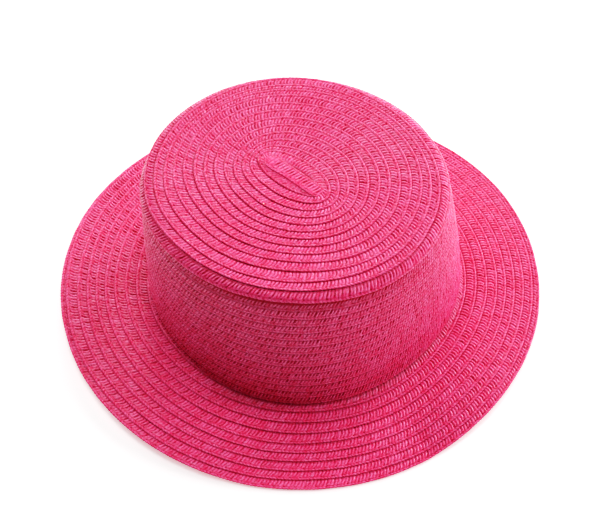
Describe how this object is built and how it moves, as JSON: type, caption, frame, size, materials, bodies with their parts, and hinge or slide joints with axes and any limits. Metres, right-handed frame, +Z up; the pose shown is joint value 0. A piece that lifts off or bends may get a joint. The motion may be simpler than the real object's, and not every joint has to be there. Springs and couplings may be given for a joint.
{
  "type": "straw boater hat",
  "caption": "Pink straw hat with a flat top, an upright side and a flat, slightly wavy brim, sewn from one spiral of braid.",
  "frame": {"origin": "on the resting surface, under the middle of the brim", "axes": "+Z up through the crown, -Y towards the front of the hat as pictured, +X to its right"},
  "size_m": [0.2998, 0.2938, 0.1053],
  "materials": {
    "straw": "matt, twisted paper"
  },
  "bodies": {
    "root": {"crown_tip": "straw", "crown_side": "straw", "brim": "straw"}
  },
  "joints": []
}
